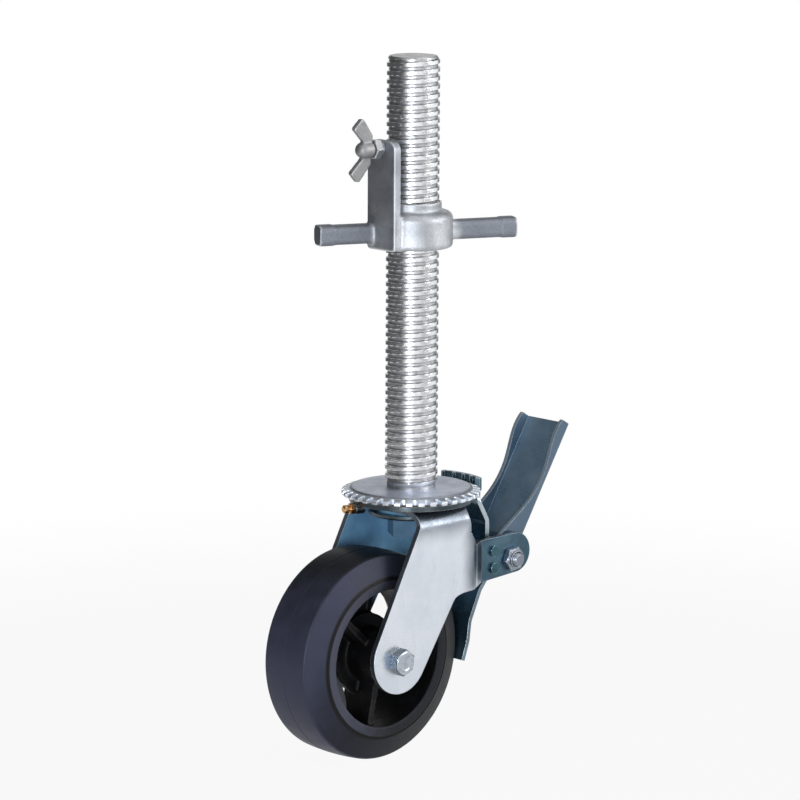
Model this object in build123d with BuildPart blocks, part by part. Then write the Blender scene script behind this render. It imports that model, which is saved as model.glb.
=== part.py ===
from build123d import *
from math import acos, asin, atan2, cos, degrees, hypot, radians, sin, sqrt
import os

os.makedirs("parts", exist_ok=True)

# Scaffold castor with a threaded jack stem, in millimetres.
# Z is the swivel axis, with z = 0 on top of the toothed plate, where the stem stands.
# The wheel trails towards -X, and the brake pedal rises towards +X.

# Stem and its kingpin
stem_r = 19.0
stem_length = 308.0
stem_chamfer = 2.2
thread_depth = 1.7
thread_spacing = 12.0
thread_root_width = 2.6
thread_flank = 1.3
undercut_height = 1.8
kingpin_r = 10.0
running_gap = 0.06
seat_gap = 0.3

# Toothed plate that the lock block bites into
plate_thickness = 5.3
plate_disc_step = 0.9
plate_step_width = 1.8
tooth_count = 36
tooth_tip_r = 50.0
tooth_depth = 5.2
tooth_tip_width = 2.4
tooth_root_width = 4.8
tooth_slope = 1.7

# Ball races between the plate and the fork
race_gap = 1.3
race_thickness = 3.4
race_inset = 0.3
race_groove_wall = 9.5
race_width = 17.5
ball_r = 3.0
ball_count = 10
seal_width = 2.4
lower_race_r = 30.5
lower_race_thickness = 2.5
lower_race_lip = 3.2
thrust_washer_r = 24.0
thrust_washer_thickness = 3.0
king_nut_flats = 30.0
king_nut_height = 15.0

# Grease nipple on the front of the race
nipple_angle = 165.0
nipple_boss_r = 4.2
nipple_stand = 1.5
nipple_drop = 1.3
nipple_length = 9.0
nipple_flats = 7.0

# Wheel
wheel_r = 75.0
wheel_trail = 48.0
axle_drop = 114.0
tread_half_width = 20.3
tread_crown = 1.1
rim_half_width = 27.9
tyre_depth = 16.0
rim_edge_drop = 1.8
rim_corner = 2.8
rim_wall = 9.7
rim_flare = 5.7
rim_flare_start = 18.5
spoke_count = 6
spoke_phase = 77.5
spoke_thickness = 5.0
spoke_far = 9.0
spoke_low_near = 0.6
spoke_tall_near = 21.0
web_r = 28.7
web_half_width = 4.5
hub_r = 19.0
hub_half_width = 31.2

# Axle, sleeve and roller bearing
axle_bolt_r = 6.0
axle_head_flats = 17.0
axle_head_height = 7.5
axle_nut_height = 10.5
sleeve_r = 8.6
roller_r = 2.4
roller_count = 12
roller_half_length = 24.0
cage_wall = 2.0
hub_washer_r = 16.5

# Fork, one pressed sheet
fork_sheet = 4.0
fork_half_width = 39.0
fork_bend_r = 14.0
crown_front = 27.0
crown_rear = 21.0
leg_end_r = 25.5
leg_end_shift_x = 1.6
leg_end_shift_z = 1.6
leg_front_lean = 27.5
shoulder_rear = 31.5
shoulder_bottom = -73.4
shoulder_top = -42.0
ear_half_width = 29.0
ear_jog_start = 24.6
ear_jog_end = 42.2
ear_jog_r = 8.0
ear_r = 14.5

# Brake pivot in the fork's ears
pivot_x = 73.0
pivot_z = -59.0
pivot_bolt_r = 5.0
pivot_sleeve_r = 6.6
pivot_washer_r = 8.8
pivot_nut_flats = 16.0
pivot_nut_height = 7.0
pivot_head_height = 6.4

# Brake pedal, a pressed channel with two cam cheeks
pedal_half_width = 22.0
pedal_sheet = 3.0
pedal_bend_r = 4.0
pedal_top_x = 141.2
pedal_top_z = 30.6
pedal_root_x = 91.3
pedal_root_z = -50.0
pedal_flange = 9.4
pedal_waist = 6.0
pedal_lip = 1.5
pedal_throw = 35.0

# Brake plate: lock block on top, shoe at the bottom
brake_travel = 1.8
brake_half_width = 21.5
brake_sheet = 3.0
brake_flat_x = 61.0
brake_flat_top = -44.0
brake_flat_bottom = -66.0
brake_neck_bottom = -30.0
brake_neck_top = -16.0
brake_taper_bottom = -32.0
brake_taper_top = -13.0
brake_bend_r = 9.0
shoe_gaps = (27.8, 13.1, 10.4, 7.2)
shoe_angles = (19.0, 7.8, -1.7, -11.4)
lock_block_thickness = 2.8
lock_block_angle = 20.9
brake_top_half_width = 17.8
lock_block_top = 1.9
lock_block_bottom = -7.5
lock_rib_tip_width = 1.2
lock_rib_base_width = 3.2
lock_rib_count = 5
tab_front = 50.0
tab_top = -45.5
tab_bottom = -69.0
rivet_x = 55.0
rivet_r = 2.2
rivet_head_r = 4.0
rivet_head_height = 2.2
rivet_heights = (-51.0, -63.5)

# Jack nut, one casting with two handles and an upstand
nut_base_z = 173.0
nut_body_r = 28.7
nut_body_height = 26.0
nut_shoulder_r = 5.5
nut_edge_r = 3.0
nut_collar_r = 20.6
nut_collar_height = 7.0
handle_angle = -23.0
handle_reaches = (77.5, 71.5)
handle_rise = 11.0
handle_height = 13.8
handle_width = 13.0
handle_end_length = 11.0
handle_end_step = 0.5
tube_outer_r = 24.15
tube_gap = 0.45
upstand_thickness = 6.4
upstand_half_width = 14.2
upstand_height = 78.0
upstand_corner_r = 7.0

# Wing bolt through the upstand
wing_drop = 5.5
wing_bolt_r = 4.0
jam_nut_flats = 13.0
jam_nut_height = 6.5
jam_nut_collar_r = 5.2
jam_nut_collar = 3.0
wing_boss_r = 5.8
wing_boss_gap = 1.0
wing_boss_length = 6.5
wing_span = 44.6
wing_sweep = 17.5
wing_lean = 6.0
wing_thickness = 4.2

# Heights worked out from the sizes above
stem_root_r = stem_r - thread_depth
tooth_root_r = tooth_tip_r - tooth_depth
plate_disc_r = tooth_root_r - plate_step_width
race_r = tooth_root_r - race_inset
ball_pitch_r = race_r - race_groove_wall
race_bore_r = race_r - race_width
nipple_reach = race_r + nipple_stand
rim_outer_r = wheel_r - tyre_depth
rim_edge_r = rim_outer_r - rim_edge_drop
rim_inner_r = rim_outer_r - rim_wall
rim_flare_r = rim_inner_r + rim_flare
race_top = -plate_thickness - race_gap
race_bottom = race_top - race_thickness
crown_top = race_bottom
crown_bottom = crown_top - fork_sheet
ball_z = -plate_thickness - race_gap / 2
groove_r = ball_r + seat_gap
thrust_top = crown_bottom - seat_gap
lower_race_top = thrust_top - thrust_washer_thickness
lower_race_bottom = lower_race_top - lower_race_thickness
king_nut_bottom = lower_race_bottom - king_nut_height
kingpin_bottom = king_nut_bottom - 1.5
axle_x = -wheel_trail
axle_z = -axle_drop
fork_inner = fork_half_width - fork_sheet
fork_mid = fork_half_width - fork_sheet / 2
ear_inner = ear_half_width - fork_sheet
brake_rear_x = brake_flat_x + brake_sheet / 2
cam_r = pivot_x - brake_rear_x - seat_gap
cam_offset = brake_travel / sin(radians(pedal_throw))
tooth_pitch = 360 / tooth_count
nut_bore_r = stem_r + running_gap
upstand_x = tube_outer_r + tube_gap
upstand_outer_x = upstand_x + upstand_thickness
wing_axis_z = nut_base_z + upstand_height - wing_drop


def hexagon(flats):
    """Radius to the corners of a hexagon with this size across its flats."""
    return flats / sqrt(3)


def toward(angle, radius):
    """Point at this radius and angle round the Z axis."""
    return (radius * cos(radians(angle)), radius * sin(radians(angle)))


# Stem: solid rolled bar with ring grooves for its thread, turned down below the plate to a kingpin
thread_half = thread_root_width / 2 + thread_flank
thread_cuts = int((stem_length - 2 * thread_spacing / 3) / thread_spacing) + 1
stem_outline = [(0, 0), (stem_root_r, 0), (stem_root_r, undercut_height), (stem_r, undercut_height)]
for cut in range(thread_cuts):
    cut_z = thread_spacing * (cut + 0.5)
    stem_outline += [
        (stem_r, cut_z - thread_half),
        (stem_root_r, cut_z - thread_root_width / 2),
        (stem_root_r, cut_z + thread_root_width / 2),
        (stem_r, cut_z + thread_half),
    ]
stem_outline += [(stem_r, stem_length - stem_chamfer), (stem_r - stem_chamfer, stem_length), (0, stem_length)]
with BuildPart() as stem:
    with BuildSketch(Plane.XZ):
        Polygon(*stem_outline, align=None)
    revolve(axis=Axis.Z)
    with BuildSketch(Plane.XY):
        Circle(kingpin_r)
    extrude(amount=kingpin_bottom)
    chamfer(stem.faces().sort_by(Axis.Z)[0].edges(), length=1.2)
stem.part.label = "stem"
export_step(stem.part, "parts/stem.step")

# Toothed plate: a pressed disc with a step and a sloping crown of teeth
rim_drop = plate_disc_step + tooth_slope
with BuildPart() as lock_ring:
    with BuildSketch(Plane.XZ):
        with BuildLine():
            Polyline(
                (kingpin_r, 0),
                (plate_disc_r, 0),
                (plate_disc_r + 0.9, -plate_disc_step),
                (tooth_tip_r, -rim_drop),
                (tooth_tip_r, -plate_thickness),
                (kingpin_r, -plate_thickness),
                close=True,
            )
        make_face()
    revolve(axis=Axis.Z)
    with BuildSketch(Plane.XZ):
        with Locations((ball_pitch_r, ball_z)):
            Circle(groove_r)
    revolve(axis=Axis.Z, mode=Mode.SUBTRACT)
    gap_root = 2 * tooth_root_r * sin(radians(tooth_pitch / 2)) - tooth_root_width
    gap_tip = 2 * tooth_tip_r * sin(radians(tooth_pitch / 2)) - tooth_tip_width
    gap_slope = (gap_tip - gap_root) / (tooth_tip_r - tooth_root_r)
    cut_r = tooth_tip_r + 2
    gap_mouth = gap_root + gap_slope * (cut_r - tooth_root_r)
    with BuildSketch(Plane.XY.offset(-plate_thickness)):
        with PolarLocations(0, tooth_count):
            Polygon(
                (tooth_root_r, -gap_root / 2),
                (cut_r, -gap_mouth / 2),
                (cut_r, gap_mouth / 2),
                (tooth_root_r, gap_root / 2),
                align=None,
            )
    extrude(amount=plate_thickness, mode=Mode.SUBTRACT)
lock_ring.part.label = "lock_ring"
export_step(lock_ring.part, "parts/lock_ring.step")

# Balls of the upper race, a loose set in their groove
with BuildPart() as race_balls:
    with PolarLocations(ball_pitch_r, ball_count):
        with Locations((0, 0, ball_z)):
            Sphere(ball_r)
race_balls.part.label = "race_balls"
export_step(race_balls.part, "parts/race_balls.step")

# Crown race: the flange that the balls run on, with a boss for the nipple
nipple_z = race_top - nipple_boss_r - nipple_drop
nipple_plane = Plane(
    origin=(*toward(nipple_angle, nipple_reach), nipple_z),
    x_dir=(*toward(nipple_angle + 90, 1), 0),
    z_dir=(*toward(nipple_angle, 1), 0),
)
with BuildPart() as crown_race:
    with BuildSketch(Plane.XY.offset(race_bottom)):
        Circle(race_r)
        Circle(race_bore_r, mode=Mode.SUBTRACT)
    extrude(amount=race_thickness)
    with BuildSketch(nipple_plane):
        Circle(nipple_boss_r)
    extrude(amount=-(nipple_reach - ball_pitch_r - ball_r - 1))
    with BuildSketch(Plane.XZ):
        with Locations((ball_pitch_r, ball_z)):
            Circle(groove_r)
    revolve(axis=Axis.Z, mode=Mode.SUBTRACT)
crown_race.part.label = "crown_race"
export_step(crown_race.part, "parts/crown_race.step")

# Dust seal: a thin felt ring that keeps the grease in
with BuildPart() as dust_seal:
    with BuildSketch(Plane.XY.offset(race_top)):
        Circle(race_r - 0.4)
        Circle(race_r - 0.4 - seal_width, mode=Mode.SUBTRACT)
    extrude(amount=race_gap - seat_gap)
dust_seal.part.label = "dust_seal"
export_step(dust_seal.part, "parts/dust_seal.step")

# Grease nipple: hexagon, neck and ball head in brass
with BuildPart() as grease_nipple:
    with BuildSketch(nipple_plane):
        RegularPolygon(hexagon(nipple_flats), 6)
    extrude(amount=nipple_length * 0.4)
    with BuildSketch(nipple_plane.offset(nipple_length * 0.4)):
        Circle(nipple_flats * 0.3)
    extrude(amount=nipple_length * 0.25)
    with BuildSketch(nipple_plane.offset(nipple_length * 0.6)):
        Circle(nipple_flats * 0.42)
    extrude(amount=nipple_length * 0.4)
    chamfer(
        grease_nipple.faces().sort_by(Axis(nipple_plane.origin, nipple_plane.z_dir))[-1].edges(),
        length=nipple_flats * 0.14,
    )
grease_nipple.part.label = "grease_nipple"
export_step(grease_nipple.part, "parts/grease_nipple.step")

# Lower race: a dished cup under the crown, with its rim turned up
with BuildPart() as lower_race:
    with BuildSketch(Plane.XY.offset(lower_race_bottom)):
        Circle(lower_race_r)
        Circle(kingpin_r + running_gap, mode=Mode.SUBTRACT)
    extrude(amount=lower_race_thickness)
    with BuildSketch(Plane.XY.offset(lower_race_bottom)):
        Circle(lower_race_r)
        Circle(lower_race_r - lower_race_thickness, mode=Mode.SUBTRACT)
    extrude(amount=lower_race_lip)
    outer_edges = lower_race.edges().filter_by(GeomType.CIRCLE).group_by(Axis.Z)[0].sort_by(SortBy.RADIUS)
    fillet(outer_edges[-1], radius=1.6)
lower_race.part.label = "lower_race"
export_step(lower_race.part, "parts/lower_race.step")

# Thrust washer between the crown and the lower race
with BuildPart() as thrust_washer:
    with BuildSketch(Plane.XY.offset(lower_race_top)):
        Circle(thrust_washer_r)
        Circle(kingpin_r + running_gap, mode=Mode.SUBTRACT)
    extrude(amount=thrust_washer_thickness)
thrust_washer.part.label = "thrust_washer"
export_step(thrust_washer.part, "parts/thrust_washer.step")

# King nut that holds the swivel together
with BuildPart() as king_nut:
    with BuildSketch(Plane.XY.offset(king_nut_bottom)):
        RegularPolygon(hexagon(king_nut_flats), 6)
        Circle(kingpin_r + running_gap, mode=Mode.SUBTRACT)
    extrude(amount=king_nut_height)
king_nut.part.label = "king_nut"
export_step(king_nut.part, "parts/king_nut.step")

# Fork: one sheet, a crown with two legs, each running back into an ear
leg_end_x = axle_x + leg_end_shift_x
leg_end_z = axle_z + leg_end_shift_z
front_dir = (sin(radians(leg_front_lean)), cos(radians(leg_front_lean)))
front_tangent = (leg_end_x - leg_end_r * front_dir[1], leg_end_z + leg_end_r * front_dir[0])
front_run = (crown_bottom - 6 - front_tangent[1]) / front_dir[1]
front_top = (front_tangent[0] + front_run * front_dir[0], crown_bottom - 6)
knee = (shoulder_rear - 26, shoulder_bottom - 5.6)
knee_gap = (knee[0] - leg_end_x, knee[1] - leg_end_z)
knee_angle = atan2(knee_gap[1], knee_gap[0]) - acos(leg_end_r / hypot(*knee_gap))
rear_tangent = (leg_end_x + leg_end_r * cos(knee_angle), leg_end_z + leg_end_r * sin(knee_angle))
leg_bottom = (leg_end_x + 0.2 * leg_end_r, leg_end_z - sqrt(0.96) * leg_end_r)
ear_x = pivot_x + 4.5
ear_z = pivot_z + 3.5
with BuildPart() as fork:
    with BuildSketch(Plane.YZ.offset(-crown_front - 60)):
        with BuildLine():
            FilletPolyline(
                (-fork_mid, crown_top - 150),
                (-fork_mid, crown_top - fork_sheet / 2),
                (fork_mid, crown_top - fork_sheet / 2),
                (fork_mid, crown_top - 150),
                radius=fork_bend_r - fork_sheet / 2,
            )
        trace(line_width=fork_sheet)
    extrude(amount=crown_front + 60 + ear_jog_start - 2)
    for side in (-1, 1):
        with BuildSketch(Plane.XY.offset(shoulder_top - 40)):
            with BuildLine():
                FilletPolyline(
                    (ear_jog_start - 10, side * fork_mid),
                    (ear_jog_start, side * fork_mid),
                    (ear_jog_end, side * (ear_half_width - fork_sheet / 2)),
                    (pivot_x + 40, side * (ear_half_width - fork_sheet / 2)),
                    radius=ear_jog_r,
                )
            trace(line_width=fork_sheet)
        extrude(amount=50)
    with BuildSketch(Plane.XZ):
        with BuildLine():
            Line((-crown_front, crown_top), front_top)
            Line(front_top, front_tangent)
            ThreePointArc(front_tangent, leg_bottom, rear_tangent)
            Line(rear_tangent, knee)
            Spline(
                knee,
                (shoulder_rear, shoulder_bottom),
                tangents=[(knee[0] - rear_tangent[0], knee[1] - rear_tangent[1]), (1, 0.1)],
            )
            Line((shoulder_rear, shoulder_bottom), (ear_x, ear_z - ear_r))
            ThreePointArc((ear_x, ear_z - ear_r), (ear_x + ear_r, ear_z), (ear_x, ear_z + ear_r))
            Line((ear_x, ear_z + ear_r), (shoulder_rear, shoulder_top))
            Line((shoulder_rear, shoulder_top), (crown_rear + 3, shoulder_top + 9))
            Line((crown_rear + 3, shoulder_top + 9), (crown_rear, crown_bottom - 4))
            Line((crown_rear, crown_bottom - 4), (crown_rear, crown_top))
            Line((crown_rear, crown_top), (-crown_front, crown_top))
        make_face()
    extrude(amount=fork_half_width + 5, both=True, mode=Mode.INTERSECT)
    with BuildSketch(Plane.XY.offset(crown_top)):
        Circle(kingpin_r + running_gap)
    extrude(amount=-fork_sheet, mode=Mode.SUBTRACT)
    with BuildSketch(Plane.XZ):
        with Locations((axle_x, axle_z)):
            Circle(axle_bolt_r + running_gap)
        with Locations((pivot_x, pivot_z)):
            Circle(pivot_bolt_r + running_gap)
        for height in rivet_heights:
            with Locations((rivet_x, height)):
                Circle(rivet_r + running_gap)
    extrude(amount=fork_half_width + 5, both=True, mode=Mode.SUBTRACT)
fork.part.label = "fork"
export_step(fork.part, "parts/fork.step")

# Plane across the axle, seen from the near side, and one along it
wheel_plane = Plane(origin=(axle_x, 0, axle_z), x_dir=(1, 0, 0), z_dir=(0, -1, 0))
axle_plane = Plane(origin=(axle_x, 0, axle_z), x_dir=(0, 1, 0), z_dir=(1, 0, 0))
axle_line = Axis((axle_x, 0, axle_z), (0, 1, 0))
cage_outer_r = sleeve_r + 2 * roller_r + seat_gap * 2
hub_bore_r = cage_outer_r + seat_gap
roller_pitch_r = sleeve_r + roller_r + running_gap * 2

# Wheel core: an iron casting, with rim, hub, web, and low and tall ribs by turns
with BuildPart() as wheel_core:
    with BuildSketch(axle_plane):
        with BuildLine():
            Polyline(
                (-rim_half_width, rim_edge_r),
                (-rim_half_width + rim_corner, rim_outer_r),
                (rim_half_width - rim_corner, rim_outer_r),
                (rim_half_width, rim_edge_r),
                (rim_half_width, rim_flare_r),
                (rim_flare_start, rim_inner_r),
                (-rim_half_width, rim_inner_r),
                close=True,
            )
        make_face()
    revolve(axis=axle_line)
    with BuildSketch(wheel_plane):
        Circle(web_r)
    extrude(amount=web_half_width, both=True)
    with BuildSketch(wheel_plane):
        Circle(hub_r)
    extrude(amount=hub_half_width, both=True)
    with BuildSketch(wheel_plane.offset(-spoke_far)):
        with PolarLocations(0, spoke_count, start_angle=spoke_phase):
            Rectangle(rim_inner_r + 1, spoke_thickness, align=(Align.MIN, Align.CENTER))
    extrude(amount=spoke_far + spoke_low_near)
    with BuildSketch(wheel_plane):
        with PolarLocations(0, spoke_count // 2, start_angle=spoke_phase + 180 / (spoke_count // 2)):
            Rectangle(rim_inner_r + 1, spoke_thickness, align=(Align.MIN, Align.CENTER))
    extrude(amount=spoke_tall_near)
    with BuildSketch(wheel_plane):
        Circle(hub_bore_r)
    extrude(amount=hub_half_width, both=True, mode=Mode.SUBTRACT)
wheel_core.part.label = "wheel_core"
export_step(wheel_core.part, "parts/wheel_core.step")

# Tyre: solid rubber moulded round the rim, with a slight crown
tread_edge_r = wheel_r - tread_crown
with BuildPart() as tyre:
    with BuildSketch(axle_plane):
        with BuildLine():
            ThreePointArc((-tread_half_width, tread_edge_r), (0, wheel_r), (tread_half_width, tread_edge_r))
            Line((tread_half_width, tread_edge_r), (rim_half_width, rim_edge_r))
            Line((rim_half_width, rim_edge_r), (rim_half_width - rim_corner, rim_outer_r))
            Line((rim_half_width - rim_corner, rim_outer_r), (-rim_half_width + rim_corner, rim_outer_r))
            Line((-rim_half_width + rim_corner, rim_outer_r), (-rim_half_width, rim_edge_r))
            Line((-rim_half_width, rim_edge_r), (-tread_half_width, tread_edge_r))
        make_face()
    revolve(axis=axle_line)
tyre.part.label = "tyre"
export_step(tyre.part, "parts/tyre.step")

# Axle: bolt, nut and the sleeve clamped between the legs
with BuildPart() as axle_bolt:
    with BuildSketch(wheel_plane.offset(fork_half_width)):
        RegularPolygon(hexagon(axle_head_flats), 6, rotation=22)
    extrude(amount=axle_head_height)
    with BuildSketch(wheel_plane.offset(fork_half_width)):
        Circle(axle_bolt_r)
    extrude(amount=-(2 * fork_half_width + axle_nut_height + 3))
axle_bolt.part.label = "axle_bolt"
export_step(axle_bolt.part, "parts/axle_bolt.step")

with BuildPart() as axle_nut:
    with BuildSketch(wheel_plane.offset(-fork_half_width)):
        RegularPolygon(hexagon(axle_head_flats), 6, rotation=10)
        Circle(axle_bolt_r + running_gap, mode=Mode.SUBTRACT)
    extrude(amount=-axle_nut_height)
axle_nut.part.label = "axle_nut"
export_step(axle_nut.part, "parts/axle_nut.step")

with BuildPart() as axle_sleeve:
    with BuildSketch(wheel_plane):
        Circle(sleeve_r)
        Circle(axle_bolt_r + running_gap, mode=Mode.SUBTRACT)
    extrude(amount=fork_inner, both=True)
axle_sleeve.part.label = "axle_sleeve"
export_step(axle_sleeve.part, "parts/axle_sleeve.step")

# Thrust washers each side of the hub
with BuildPart() as hub_washers:
    for start, run in ((fork_inner, -1), (-fork_inner, 1)):
        with BuildSketch(wheel_plane.offset(start)):
            Circle(hub_washer_r)
            Circle(sleeve_r + running_gap, mode=Mode.SUBTRACT)
        extrude(amount=run * (fork_inner - hub_half_width - seat_gap))
hub_washers.part.label = "hub_washers"
export_step(hub_washers.part, "parts/hub_washers.step")

# Roller bearing: rollers in the pockets of a cage
with BuildPart() as wheel_rollers:
    with BuildSketch(wheel_plane):
        with PolarLocations(roller_pitch_r, roller_count):
            Circle(roller_r)
    extrude(amount=roller_half_length, both=True)
wheel_rollers.part.label = "wheel_rollers"
export_step(wheel_rollers.part, "parts/wheel_rollers.step")

with BuildPart() as roller_cage:
    with BuildSketch(wheel_plane):
        Circle(cage_outer_r)
        Circle(cage_outer_r - cage_wall, mode=Mode.SUBTRACT)
    extrude(amount=hub_half_width - 1, both=True)
    with BuildSketch(wheel_plane):
        with PolarLocations(roller_pitch_r, roller_count):
            Circle(roller_r + running_gap)
    extrude(amount=roller_half_length + seat_gap, both=True, mode=Mode.SUBTRACT)
roller_cage.part.label = "roller_cage"
export_step(roller_cage.part, "parts/roller_cage.step")

# Brake pivot: bolt, nut, sleeve and washers between the ears
pivot_plane = Plane(origin=(pivot_x, 0, pivot_z), x_dir=(1, 0, 0), z_dir=(0, -1, 0))
with BuildPart() as pivot_bolt:
    with BuildSketch(pivot_plane.offset(-ear_half_width)):
        RegularPolygon(hexagon(pivot_nut_flats), 6, rotation=15)
    extrude(amount=-pivot_head_height)
    with BuildSketch(pivot_plane.offset(-ear_half_width)):
        Circle(pivot_bolt_r)
    extrude(amount=2 * ear_half_width + pivot_nut_height + 2.5)
pivot_bolt.part.label = "pivot_bolt"
export_step(pivot_bolt.part, "parts/pivot_bolt.step")

with BuildPart() as pivot_nut:
    with BuildSketch(pivot_plane.offset(ear_half_width)):
        RegularPolygon(hexagon(pivot_nut_flats), 6, rotation=8)
        Circle(pivot_bolt_r + running_gap, mode=Mode.SUBTRACT)
    extrude(amount=pivot_nut_height)
pivot_nut.part.label = "pivot_nut"
export_step(pivot_nut.part, "parts/pivot_nut.step")

with BuildPart() as pivot_sleeve:
    with BuildSketch(pivot_plane):
        Circle(pivot_sleeve_r)
        Circle(pivot_bolt_r + running_gap, mode=Mode.SUBTRACT)
    extrude(amount=ear_inner, both=True)
pivot_sleeve.part.label = "pivot_sleeve"
export_step(pivot_sleeve.part, "parts/pivot_sleeve.step")

with BuildPart() as pivot_washers:
    for start, run in ((ear_inner, -1), (-ear_inner, 1)):
        with BuildSketch(pivot_plane.offset(start)):
            Circle(pivot_washer_r)
            Circle(pivot_sleeve_r + running_gap, mode=Mode.SUBTRACT)
        extrude(amount=run * (ear_inner - pedal_half_width - seat_gap))
pivot_washers.part.label = "pivot_washers"
export_step(pivot_washers.part, "parts/pivot_washers.step")

# Brake pedal: a channel with waisted flanges, and cam noses round the pivot
root_length = hypot(pedal_top_x - pedal_root_x, pedal_top_z - pedal_root_z)
pedal_along = ((pedal_root_x - pedal_top_x) / root_length, (pedal_root_z - pedal_top_z) / root_length)
pedal_across = (pedal_along[1], -pedal_along[0])


def on_pedal(along, across):
    """Point this far down the pedal's back and this far in front of it."""
    return (
        pedal_top_x + along * pedal_along[0] + across * pedal_across[0],
        pedal_top_z + along * pedal_along[1] + across * pedal_across[1],
    )


def about_pivot(point):
    """The same point measured from the brake pivot."""
    return (point[0] - pivot_x, point[1] - pivot_z)


pedal_corners = [
    about_pivot(on_pedal(pedal_lip, pedal_flange)),
    about_pivot(on_pedal(pedal_lip, 0)),
    about_pivot(on_pedal(root_length, 0)),
]
pedal_end = Plane(
    origin=(pedal_top_x, 0, pedal_top_z),
    x_dir=(0, 1, 0),
    z_dir=(pedal_along[0], 0, pedal_along[1]),
)
with BuildPart() as brake_lever:
    with BuildSketch(pivot_plane):
        with BuildLine():
            Spline(
                pedal_corners[0],
                about_pivot(on_pedal(0.15 * root_length, pedal_flange + pedal_lip)),
                about_pivot(on_pedal(0.42 * root_length, pedal_waist)),
                about_pivot(on_pedal(0.65 * root_length, pedal_waist + pedal_lip)),
                about_pivot(on_pedal(0.89 * root_length, pedal_waist + cam_r)),
                (-cam_r, cam_r + 1),
            )
            Line((-cam_r, cam_r + 1), (-cam_r, -cam_offset))
            ThreePointArc((-cam_r, -cam_offset), (0, -cam_offset - cam_r), (cam_r, -cam_offset))
            Line((cam_r, -cam_offset), (cam_r + pedal_lip, 0))
            Line((cam_r + pedal_lip, 0), pedal_corners[2])
            Line(pedal_corners[2], pedal_corners[1])
            Line(pedal_corners[1], pedal_corners[0])
        make_face()
    extrude(amount=pedal_half_width, both=True)
    with BuildSketch(pedal_end):
        Rectangle(2 * pedal_half_width, 60, align=(Align.CENTER, Align.MAX))
        fillet(vertices().group_by(Axis.Y)[-1], radius=pedal_bend_r)
    extrude(amount=root_length + 60, mode=Mode.INTERSECT)
    with BuildSketch(pivot_plane):
        with BuildLine():
            Polyline(
                about_pivot(on_pedal(-pedal_flange, pedal_sheet)),
                about_pivot(on_pedal(root_length - 1, pedal_sheet)),
                (cam_r + 8, -cam_offset - 2 * cam_r),
                (-3 * cam_r, -cam_offset - 2 * cam_r),
                (-3 * cam_r, 2 * cam_r),
                about_pivot(on_pedal(-pedal_flange, 4 * pedal_flange)),
                close=True,
            )
        make_face()
    extrude(amount=pedal_half_width - pedal_sheet, both=True, mode=Mode.SUBTRACT)
    with BuildSketch(pivot_plane):
        Circle(pivot_sleeve_r + running_gap)
    extrude(amount=pedal_half_width, both=True, mode=Mode.SUBTRACT)
brake_lever.part.label = "brake_lever"
export_step(brake_lever.part, "parts/brake_lever.step")

# Brake plate: a flat strip that turns into a curved top and a shoe lip
plate_front_x = brake_flat_x - brake_sheet / 2
block_outer_r = tooth_tip_r + brake_travel + lock_block_thickness + 2 * seat_gap
block_inner_r = block_outer_r - lock_block_thickness
brake_angle = degrees(asin(brake_half_width / brake_rear_x))
brake_edge_plane = Plane(
    origin=(0, 0, 0),
    x_dir=(*toward(-brake_angle, 1), 0),
    z_dir=(*toward(-brake_angle - 90, 1), 0),
)
shoe_points = [
    (axle_x + (wheel_r + gap) * cos(radians(turn)), axle_z + (wheel_r + gap) * sin(radians(turn)))
    for gap, turn in zip(shoe_gaps, shoe_angles)
]
with BuildPart() as brake_plate:
    with BuildSketch(Plane.XZ):
        with BuildLine():
            FilletPolyline(
                (brake_flat_x, brake_flat_top),
                (brake_flat_x, brake_flat_bottom),
                *shoe_points,
                radius=brake_bend_r,
            )
        trace(line_width=brake_sheet)
    extrude(amount=brake_half_width, both=True)
    with BuildSketch(brake_edge_plane):
        with BuildLine():
            FilletPolyline(
                (brake_flat_x - brake_sheet / 4, brake_flat_top - brake_sheet),
                (brake_flat_x - brake_sheet / 4, brake_neck_bottom),
                (block_outer_r - brake_sheet / 2, brake_neck_top),
                (block_outer_r - brake_sheet / 2, lock_block_bottom),
                radius=brake_bend_r,
            )
        trace(line_width=brake_sheet)
    revolve(axis=Axis.Z, revolution_arc=2 * brake_angle)
    with BuildSketch(Plane.YZ):
        Polygon(
            (-brake_half_width - brake_sheet, 2 * brake_flat_bottom),
            (-brake_half_width - brake_sheet, brake_taper_bottom),
            (-brake_top_half_width, brake_taper_top),
            (-brake_top_half_width, 0),
            (brake_top_half_width, 0),
            (brake_top_half_width, brake_taper_top),
            (brake_half_width + brake_sheet, brake_taper_bottom),
            (brake_half_width + brake_sheet, 2 * brake_flat_bottom),
            align=None,
        )
    extrude(amount=2 * brake_flat_x, mode=Mode.INTERSECT)
    for side in (-1, 1):
        with BuildSketch(Plane.XZ.offset(side * brake_half_width)):
            with BuildLine():
                Polyline(
                    (tab_front, tab_top),
                    (plate_front_x + brake_sheet, tab_top),
                    (plate_front_x + brake_sheet, tab_bottom + 6),
                    (tab_front + 5, tab_bottom),
                    (tab_front, tab_bottom),
                    close=True,
                )
            make_face()
        extrude(amount=side * brake_sheet)
    with BuildSketch(Plane.XZ):
        for height in rivet_heights:
            with Locations((rivet_x + brake_travel / 2, height)):
                SlotCenterToCenter(brake_travel, 2 * (rivet_r + running_gap))
    extrude(amount=brake_half_width + brake_sheet + 1, both=True, mode=Mode.SUBTRACT)
brake_plate.part.label = "brake_plate"
export_step(brake_plate.part, "parts/brake_plate.step")

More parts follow.
